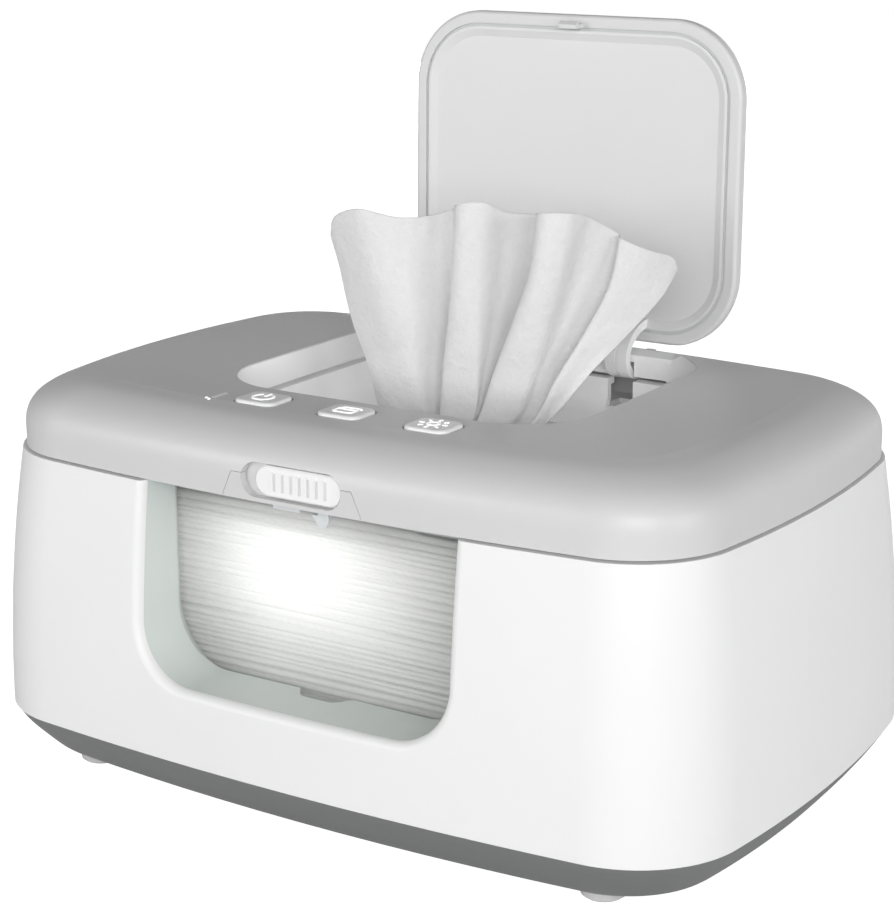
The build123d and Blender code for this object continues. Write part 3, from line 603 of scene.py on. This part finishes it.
# %% Inner materials
def heater_film():
    """Amber film with a copper track in it."""
    finish = Finish("heater_foil")
    unit = finish.stretched(8 * MM, 8 * MM, 8 * MM)
    wave = finish.node("ShaderNodeTexWave", {"bands_direction": "Y"},
                       {"Vector": unit, "Scale": 0.6, "Distortion": 0.0})
    track = wave > 0.62
    finish.set({
        "Base Color": finish.mix(track, tone(196, 120, 30), tone(150, 78, 36)),
        "Roughness": 0.35 - track * 0.08,
        "Normal": finish.bump(track, 0.05 * MM),
        "Coat Weight": 0.4,
    })
    return finish.material


def insulating_felt():
    """A mat of pale fibres, thicker in some places than in others."""
    finish = Finish("pad_felt")
    fibre = finish.noise(1.2 * MM, 8.0, 0.75)
    lumps = finish.noise(14 * MM, 3.0)
    finish.set({
        "Base Color": finish.mix(fibre * 0.7 + lumps * 0.3,
                                 tone(186, 180, 168), tone(232, 228, 218)),
        "Roughness": 0.95,
        "Normal": finish.bump(fibre + lumps, 0.4 * MM),
        "Sheen Weight": 0.3,
    })
    return finish.material


def circuit_board():
    """Green solder mask over straight tracks."""
    finish = Finish("board_green")
    unit = finish.stretched(3.1 * MM, 3.1 * MM, 3.1 * MM)
    cells = finish.node("ShaderNodeTexVoronoi", {"distance": "MANHATTAN"},
                        {"Vector": unit, "Scale": 1.0})
    track = cells < 0.42
    finish.set({
        "Base Color": finish.mix(track, tone(22, 104, 62), tone(44, 138, 84)),
        "Roughness": 0.4 - track * 0.1,
        "Normal": finish.bump(track, 0.05 * MM),
        "Coat Weight": 0.3,
    })
    return finish.material


dress("heater_foil", heater_film())
dress("pad_felt", insulating_felt())
dress("board_green", circuit_board())
print("inner materials: 3")

# %% [markdown]
# ## Window pane
# The pane is a flat sheet of clear plastic. Real refraction through it would only shift the
# wipes behind by a hair and keep direct light off them, so it is a nearly transparent
# surface that keeps its gloss.


# %% Window pane
def clear_pane():
    """Clear plastic with a faint haze."""
    finish = Finish("window_clear")
    haze = finish.noise(30 * MM, 3.0)
    finish.set({
        "Base Color": tone(240, 246, 244),
        "Alpha": 0.06 + haze * 0.04,
        "Roughness": 0.04 + haze * 0.05,
    })
    return finish.material


dress("window_clear", clear_pane())
print("pane: 1")

# %% [markdown]
# ## Signs on the buttons
# The three caps carry a raised sign each: a power sign, a box whose lid stands open, and a sun
# for the night light. They stand only 0.2 mm above the cap, and a raised line catches the light
# where paint wouldn't. The signs are also given a faint painted glow of their own, so that they
# stand out white. Each sign is a few strokes. A stroke is widened into a ribbon, and the ribbon,
# whose underside is sunk in the cap, is extruded upwards.

# %% Signs
STROKE_WIDTH = 0.7
SIGN_SUNK = 0.1 * MM
SIGN_RISE = 0.3 * MM
SIGN_GLOW = 0.35
CAP_MIDDLE_Y = -50 * MM
SAME_POINT = 1e-4


def arc(radius, first, last, steps):
    """Points along a circle, from one angle to another in degrees, counted from the right."""
    angles = [math.radians(first + (last - first) * i / steps) for i in range(steps + 1)]
    return [(radius * math.cos(a), radius * math.sin(a)) for a in angles]


def add_stroke(mesh, points, origin):
    """Raised ribbon along points in millimetres. A stroke that ends where it starts is closed."""
    path = [Vector(point) for point in points]
    closed = (path[0] - path[-1]).length < SAME_POINT
    if closed:
        path.pop()
    sides = []
    for i, point in enumerate(path):
        before = path[i - 1] if i > 0 or closed else point
        after = path[(i + 1) % len(path)] if i + 1 < len(path) or closed else point
        forward = (after - before).normalized()
        aside = Vector((-forward.y, forward.x)) * STROKE_WIDTH / 2
        sides.append([mesh.verts.new(origin + mm(p.x, p.y, 0))
                      for p in (point + aside, point - aside)])
    pairs = list(zip(sides, sides[1:])) + ([(sides[-1], sides[0])] if closed else [])
    faces = [mesh.faces.new((a[0], a[1], b[1], b[0])) for a, b in pairs]
    raised = bmesh.ops.extrude_face_region(mesh, geom=faces)["geom"]
    tops = [v for v in raised if isinstance(v, bmesh.types.BMVert)]
    bmesh.ops.translate(mesh, verts=tops, vec=(0, 0, SIGN_RISE))


def finished(mesh, name, material, body, smooth=True):
    """Turn a bmesh into a piece that rides on a body."""
    bmesh.ops.recalc_face_normals(mesh, faces=mesh.faces)
    data = bpy.data.meshes.new(name)
    mesh.to_mesh(data)
    mesh.free()
    for face in data.polygons:
        face.use_smooth = smooth
    piece = add_object(name, data)
    data.materials.append(material)
    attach(piece, body)
    print(name, len(data.polygons), "faces")
    return piece


POWER_SIGN = (arc(2.9, 125, 415, 28), [(0, 0.7), (0, 3.7)])
BOX_SIGN = (
    [(-3.0, 0.7), (-3.0, -1.9), (-2.4, -2.4), (2.4, -2.4), (3.0, -1.9), (3.0, 0.7), (-3.0, 0.7)],
    [(-3.0, 0.9), (-2.0, 2.6), (2.9, 2.6), (3.6, 1.7)],
)
RAY_ENDS = (2.8, 4.2)
RAYS = [[(end * math.cos(a), end * math.sin(a)) for end in RAY_ENDS]
        for a in (math.radians(45 * i) for i in range(8))]
SUN_SIGN = (arc(1.6, 0, 360, 20), *RAYS)
# Painted glow: the signs and the pips give off a little light of their own, so that they stand
# out white.
sign_white = moulded("sign_white", tone(252), 0.25,
                     extra={"Emission Color": WHITE, "Emission Strength": SIGN_GLOW})
SIGNS = {"power_button": POWER_SIGN, "release_button": BOX_SIGN, "light_button": SUN_SIGN}
for node, sign in SIGNS.items():
    low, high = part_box(node)
    origin = Vector(((low.x + high.x) / 2, CAP_MIDDLE_Y, high.z - SIGN_SUNK))
    sign_mesh = bmesh.new()
    for stroke in sign:
        add_stroke(sign_mesh, stroke, origin)
    name = node.replace("_button", "_sign")
    piece = finished(sign_mesh, name, sign_white, nodes[node]["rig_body"], smooth=False)

# %% [markdown]
# ## Indicator pips
# Beside the first button the cover has two tiny pips, next to the line of the indicator lamp,
# which is one of the solids. A pip is a sphere that is sunk in the skin by more than half.

# %% Indicator pips
PIPS = ((-42.3, -56.1, 113.55), (-40.9, -56.8, 113.55))
PIP_RADIUS = 0.5 * MM
pip_mesh = bmesh.new()
for place in PIPS:
    ball = bmesh.ops.create_icosphere(pip_mesh, subdivisions=3, radius=PIP_RADIUS)["verts"]
    bmesh.ops.translate(pip_mesh, verts=ball, vec=mm(*place))
pips = finished(pip_mesh, "indicator_pips", sign_white, "cover")

# %% [markdown]
# ## Stack of folded wipes
# Behind the window lies a block of wipes, each folded flat, with its rounded fold towards
# the front. A solid block would show none of it, so the stack is built leaf by leaf. A leaf
# is a thin slab with rounded corners and edges, cut into short lengths so that it can sag
# and wander, and no leaf lies quite like the next one. On the top leaf the end of the last
# fold shows as a low step.

# %% Stack of wipes
stack_low, stack_high = (Vector(corner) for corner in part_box("wipe_stack"))
stack_size = stack_high - stack_low
stack_middle = (stack_low + stack_high) / 2
LEAVES = 34
LEAF_SHARES = (0.7, 1.3)
TOP_LEAF_SHARE = 1.5
LEAF_GAP = 0.12 * MM
CORNER = 17 * MM
CORNER_STEPS = 6
RIM_SHARE = 0.42
RIM_STEPS = 2
RIM_ANGLE = 1.0
BENDS = 24
WANDER = 0.35 * MM
WANDER_WAVES = 9
SAG_WAVES = 7
LARGEST_SAG = 0.9 * MM
LARGEST_LEAN = 0.6 * MM
LEVEL = 1e-7
FLAP_EDGE = mm(22, 0, 0)
FLAP_LEAN = Vector((1.0, 0.07, 0.0)).normalized()
FLAP_THICKNESS = 0.6 * MM
FLAP_STEP = 0.5 * MM
FACE_DEPTH = 0.3 * MM
FACE_ROWS = 14
RIPPLE = 0.22 * MM


def cut(mesh, place, normal):
    """Cut the whole mesh by a plane, and keep both sides."""
    bmesh.ops.bisect_plane(mesh, geom=mesh.verts[:] + mesh.edges[:] + mesh.faces[:], dist=1e-7,
                           plane_co=place, plane_no=normal)


def drop(edge):
    """How far an edge goes up or down."""
    return abs(edge.verts[0].co.z - edge.verts[1].co.z)


def folded_leaf(low, high, phase, sag, lean):
    """One folded wipe between two heights, pushed in by a wandering amount at its edges."""
    thick = high - low
    mesh = bmesh.new()
    bmesh.ops.create_cube(mesh, size=1.0)
    for vert in mesh.verts:
        vert.co = Vector((stack_middle.x + vert.co.x * stack_size.x,
                          stack_middle.y + vert.co.y * stack_size.y,
                          (low + high) / 2 + vert.co.z * thick))
    uprights = [edge for edge in mesh.edges if drop(edge) > 0.5 * thick]
    bmesh.ops.bevel(mesh, geom=uprights, offset=CORNER, affect="EDGES", segments=CORNER_STEPS,
                    profile=0.5, material=-1)
    rims = [edge for edge in mesh.edges
            if drop(edge) < LEVEL and len(edge.link_faces) == 2
            and edge.calc_face_angle() > RIM_ANGLE]
    bmesh.ops.bevel(mesh, geom=rims, offset=RIM_SHARE * thick, affect="EDGES",
                    segments=RIM_STEPS, profile=0.5, material=-1)
    for bend in range(1, BENDS):
        cut(mesh, (stack_low.x + stack_size.x * bend / BENDS, 0, 0), (1, 0, 0))
    for vert in mesh.verts:
        along = vert.co.x / stack_size.x
        inwards = WANDER * (1 + math.sin(WANDER_WAVES * along + phase)) + lean
        vert.co.y += inwards if vert.co.y < stack_middle.y else -inwards
        vert.co.x -= math.copysign(0.5 * inwards, vert.co.x)
        vert.co.z += sag * math.sin(SAG_WAVES * along + phase * 1.7)
    return mesh


def crease_top(mesh):
    """Lay the last fold of the top wipe, whose edge crosses the stack, and ripple its face."""
    for row in range(1, FACE_ROWS):
        cut(mesh, (0, stack_low.y + stack_size.y * row / FACE_ROWS, 0), (0, 1, 0))
    cut(mesh, FLAP_EDGE, FLAP_LEAN)
    cut(mesh, FLAP_EDGE + FLAP_LEAN * FLAP_STEP, FLAP_LEAN)
    face_height = max(vert.co.z for vert in mesh.verts)
    for vert in mesh.verts:
        x, y, z = vert.co
        if z < face_height - FACE_DEPTH:
            continue
        ripple = math.sin(61 * x + 30 * y) * math.sin(74 * y - 25 * x)
        vert.co.z -= RIPPLE * (1 + ripple)
        if FLAP_LEAN.dot(vert.co - FLAP_EDGE) > FLAP_STEP / 2:
            vert.co.z -= FLAP_THICKNESS


random.seed(4)
stack_mesh = bmesh.new()
shares = [random.uniform(*LEAF_SHARES) for _ in range(LEAVES - 1)] + [TOP_LEAF_SHARE]
share_height = stack_size.z / sum(shares)
base = stack_low.z
for number, share in enumerate(shares):
    sag = min(number, LEAVES - number) / LEAVES * LARGEST_SAG
    top = base + share * share_height
    leaf = folded_leaf(base + LEAF_GAP / 2, top - LEAF_GAP / 2,
                       phase=random.uniform(0, 6.3),
                       sag=sag * random.uniform(0.4, 1.0),
                       lean=random.uniform(0, LARGEST_LEAN))
    if number == LEAVES - 1:
        crease_top(leaf)
    part = bpy.data.meshes.new("leaf")
    leaf.to_mesh(part)
    leaf.free()
    stack_mesh.from_mesh(part)
    bpy.data.meshes.remove(part)
    base = top
print("leaves:", len(shares), "mean thickness in mm:", round(stack_size.z / LEAVES / MM, 2))

# %% [markdown]
# ## Night light on the wipes
# The night light shines on the front of the stack. Its spot is bright enough to hide the leaves
# in the middle and fades over a few centimetres. It is written as a glow of the wipes themselves,
# a smooth bell about the middle of the spot, so that it is there from any side and in any other
# program. The fronts of the folds are painted greyer than the faces of the wipes, as painted
# shade between the leaves, and under the cover's front edge the leaves get a painted shade of the
# cover.

# %% Finish of the stack
SPOT = mm(-13, 0, 69)
SPOT_WIDTH = 24 * MM
SPOT_HEIGHT = 15.5 * MM
SPOT_GLOW = 0.62
FRONT_DEPTH = 4 * MM
SHADE_START = 9 * MM
SHADE_FULL = 1 * MM
SHADE_SHARE = 0.34


def glowing_wipes():
    """Folds in front painted greyish as shade, whiter wipes behind them, a painted shade under
    the cover's edge, and the spot of the night light.
    """
    finish = Finish("stack_fabric")
    fibre = finish.noise(0.9 * MM, 6.0, 0.7)
    patch = finish.noise(18 * MM, 2.0)
    weave = fibre * 0.5 + patch * 0.5
    # Painted shade: the fronts of the folds get a greyer tone than the faces behind them.
    folds = finish.mix(weave, tone(184, 182, 178), tone(208, 208, 206))
    faces = finish.mix(weave, tone(226, 226, 224), tone(244, 244, 243))
    across, deep, up = finish.place().split()
    front = deep < stack_low.y + FRONT_DEPTH
    distance = ((across - SPOT.x) / SPOT_WIDTH) ** 2 + ((up - SPOT.z) / SPOT_HEIGHT) ** 2
    glow = (distance * -0.5).reckon("EXPONENT")
    # Painted shade of the cover's front edge on the top of the front.
    shade = up.rise(stack_high.z - SHADE_START, stack_high.z - SHADE_FULL,
                    SHADE_SHARE, "SMOOTHSTEP") * front
    leaves = finish.mix(front, faces, folds)
    finish.set({
        "Base Color": finish.mix(shade, leaves, shaded(tone(190, 189, 186), 0.5)),
        "Roughness": 0.9,
        "Normal": finish.bump(fibre * 0.2 + patch, 0.9 * MM),
        "Emission Color": finish.mix(glow * front * (1 - shade * 1.6), BLACK, WHITE),
        "Emission Strength": SPOT_GLOW,
    })
    return finish.material


stack = finished(stack_mesh, "folded_wipes", glowing_wipes(), "housing")
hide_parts("wipe_stack")

# %% [markdown]
# ## The wipe that stands ready
# One wipe is pulled half out. It is gathered in the narrow opening and opens upwards like a
# fan, in a few folds that start as tight pleats and grow wider and softer. Each line of the
# table below is one guide: the crest, the flank or the valley of a fold, followed in
# millimetres from the free edge down into the opening. The sheet is a single grid. Across,
# it runs smoothly from guide to guide, and upwards it follows them, so the folds come out of
# the guides by themselves. Small pleats near the opening and a faint crumple are added.

# %% Standing wipe
GUIDES = (
    ((-42.3, 3, 149.7), (-39.2, 3, 140.3), (-36.7, 4.5, 126.5),
     (-32.2, 6.5, 112.1), (-30.1, 8.5, 99.4), (-28, 10, 93)),
    ((-39.3, 1, 155.7), (-34, 0.5, 142.1), (-30.9, 2, 127.5),
     (-27.5, 4.5, 113.1), (-25.7, 7, 100), (-26, 9, 93)),
    ((-29.5, -1.5, 159.1), (-24.6, -2, 144.8), (-21.6, -0.5, 129),
     (-20.2, 3, 114.3), (-19.7, 6.5, 100.6), (-21.5, 8, 93)),
    ((-18.4, 1, 157.4), (-15.6, 0.5, 143.9), (-14.3, 1.5, 129.1),
     (-14.3, 4.5, 114.9), (-14.6, 8, 100.6), (-16.5, 9, 93)),
    ((-10.6, 4.5, 157.7), (-10.9, 5.5, 143.6), (-10.7, 7, 128.5),
     (-11.9, 9, 114.1), (-12.5, 10.5, 100.1), (-13.5, 11.5, 93)),
    ((-4.4, 9, 159.6), (-5.7, 11.5, 143.1), (-7.6, 13, 127.8),
     (-9.5, 13.5, 113.3), (-10.2, 13, 99.5), (-11, 13, 93)),
    ((2.7, 0.5, 162.7), (0.9, 1.5, 145.3), (-1.3, 3, 130.2),
     (-4.4, 5, 115.4), (-7, 7.5, 101.1), (-9.5, 8, 93)),
    ((9.6, 2.5, 163.7), (8.3, 3.5, 145.7), (7, 4.5, 130.5),
     (4.9, 6, 116), (2.5, 8, 101), (-4.5, 8, 93)),
    ((13.5, 9.5, 160.2), (11.7, 12, 143.3), (8.8, 12, 128.7),
     (6, 10.5, 115.2), (2.7, 9.5, 100.3), (-3.5, 10, 93)),
    ((20.1, 14.5, 159.5), (16.7, 17.5, 141.8), (12.1, 16.5, 127.3),
     (8.1, 13.5, 113.9), (4, 10.8, 99.6), (-2.5, 11, 93)),
    ((28.1, 1.5, 162.3), (25.5, 2, 145.6), (19.6, 3, 130.6),
     (13, 5, 116.4), (5.9, 7.5, 100.7), (-1.5, 8, 93)),
    ((36.6, 4, 162.6), (33, 4.5, 145.9), (27.8, 5.5, 130.5),
     (22.4, 7, 116.1), (15.5, 8.5, 101.2), (4, 8.5, 93)),
    ((38.2, 13, 160.1), (33.3, 15, 143.6), (28.2, 14.5, 128.6),
     (22.7, 13, 114.6), (16.7, 11.5, 100.5), (5.2, 11.5, 93)),
    ((42, 21, 155.2), (38.9, 22.5, 140.9), (32.8, 21, 127.2),
     (25.4, 18, 113.4), (19.2, 14, 99.7), (6.5, 13, 93)),
    ((44.6, 18.5, 154.3), (42.2, 17.5, 141.6), (36, 15.5, 128.5),
     (28.7, 12.5, 114.9), (21.4, 10.5, 100.9), (9.5, 9.5, 93)),
    ((50.1, 23.5, 151), (46.6, 21.5, 140.3), (40.2, 18, 128.8),
     (32.6, 14.5, 116.5), (24.2, 12, 101.9), (13, 9, 93)),
    ((53.3, 32, 147.9), (50.1, 27, 138.4), (43.4, 21.5, 128),
     (34.8, 16.5, 116.3), (26.8, 12.5, 103.6), (15.5, 9.5, 93)),
    ((53.5, 35, 143.9), (51.3, 29.5, 136.6), (45.1, 23.5, 127.4),
     (36.3, 17.5, 116), (28.5, 13, 104.8), (17, 10.5, 93)),
)
CELLS_ACROSS = 200
CELLS_UP = 70
SMALL_PLEATS = 0.6
CRUMPLE = 0.77
TO_THE_FRONT = Vector((0.25, -0.97, 0))
WIPE_THICKNESS = 0.35 * MM
guide_curves = [[mm(*point) for point in guide] for guide in GUIDES]


def through(points, share):
    """Point at a share of the way along a smooth curve through the points."""
    place = share * (len(points) - 1)
    index = min(int(place), len(points) - 2)
    t = place - index
    before, start = points[max(index - 1, 0)], points[index]
    end, after = points[index + 1], points[min(index + 2, len(points) - 1)]
    return 0.5 * (2 * start + (end - before) * t
                  + (2 * before - 5 * start + 4 * end - after) * t * t
                  + (3 * start - before - 3 * end + after) * t ** 3)


def wipe_point(across, down):
    """Point of the wipe: across from its left to its right edge, down from its free edge."""
    point = through([through(curve, down) for curve in guide_curves], across)
    pleat = math.sin(46 * across + 1.5 * math.sin(5 * down)) * down ** 3
    crumple = math.sin(17 * across + 11 * down) * math.sin(23 * down - 9 * across)
    fade = down * (1 - down)
    return point + TO_THE_FRONT * (SMALL_PLEATS * pleat + CRUMPLE * crumple * fade) * MM


def length_along(points):
    """The length of a line through the points."""
    return sum((after - before).length for before, after in zip(points, points[1:]))


wipe_mesh = bmesh.new()
bmesh.ops.create_grid(wipe_mesh, x_segments=CELLS_ACROSS, y_segments=CELLS_UP, size=0.5)
for vert in wipe_mesh.verts:
    vert.co = wipe_point(vert.co.x + 0.5, 0.5 - vert.co.y)


def nonwoven():
    """Soft white cloth, pressed with a small pattern."""
    finish = Finish("wipe_fabric")
    fibre = finish.noise(0.8 * MM, 8.0, 0.7)
    emboss = finish.noise(2.6 * MM, 3.0, 0.5)
    finish.set({
        "Base Color": finish.mix(fibre * 0.6 + emboss * 0.4, tone(220), tone(238)),
        "Roughness": 0.85,
        "Normal": finish.bump(fibre * 0.5 + emboss, 0.5 * MM),
        "Sheen Weight": 0.15,
    })
    return finish.material


wipe = finished(wipe_mesh, "standing_wipe", nonwoven(), "cover")
thickness = wipe.modifiers.new("thickness", "SOLIDIFY")
thickness.thickness = WIPE_THICKNESS
thickness.offset = 0.0

# %% [markdown]
# ## The wipe as a flat sheet
# A game or a simulation wants to know how large the wipe is when it is laid flat. Its width is
# measured along the free edge and its height down a line near the middle. The wipe takes the
# place of the plain solid that stands in the opening.

# %% Flat size
EDGE_ROW = 0.02
MIDDLE_COLUMN = 0.45
flat_width = length_along([wipe_point(i / 90, EDGE_ROW) for i in range(91)])
flat_height = length_along([wipe_point(MIDDLE_COLUMN, i / 40) for i in range(41)])
print("wipe in mm:", round(flat_width / MM), "x", round(flat_height / MM))
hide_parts("pulled_wipe")
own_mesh(wipe)

# %% [markdown]
# ## Sizes
# The new pieces should stay inside the box of the solids, or leave it by no more than cloth
# would. The box of everything shown, apart from the floor, is measured.

# %% Measure the sizes
low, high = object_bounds()
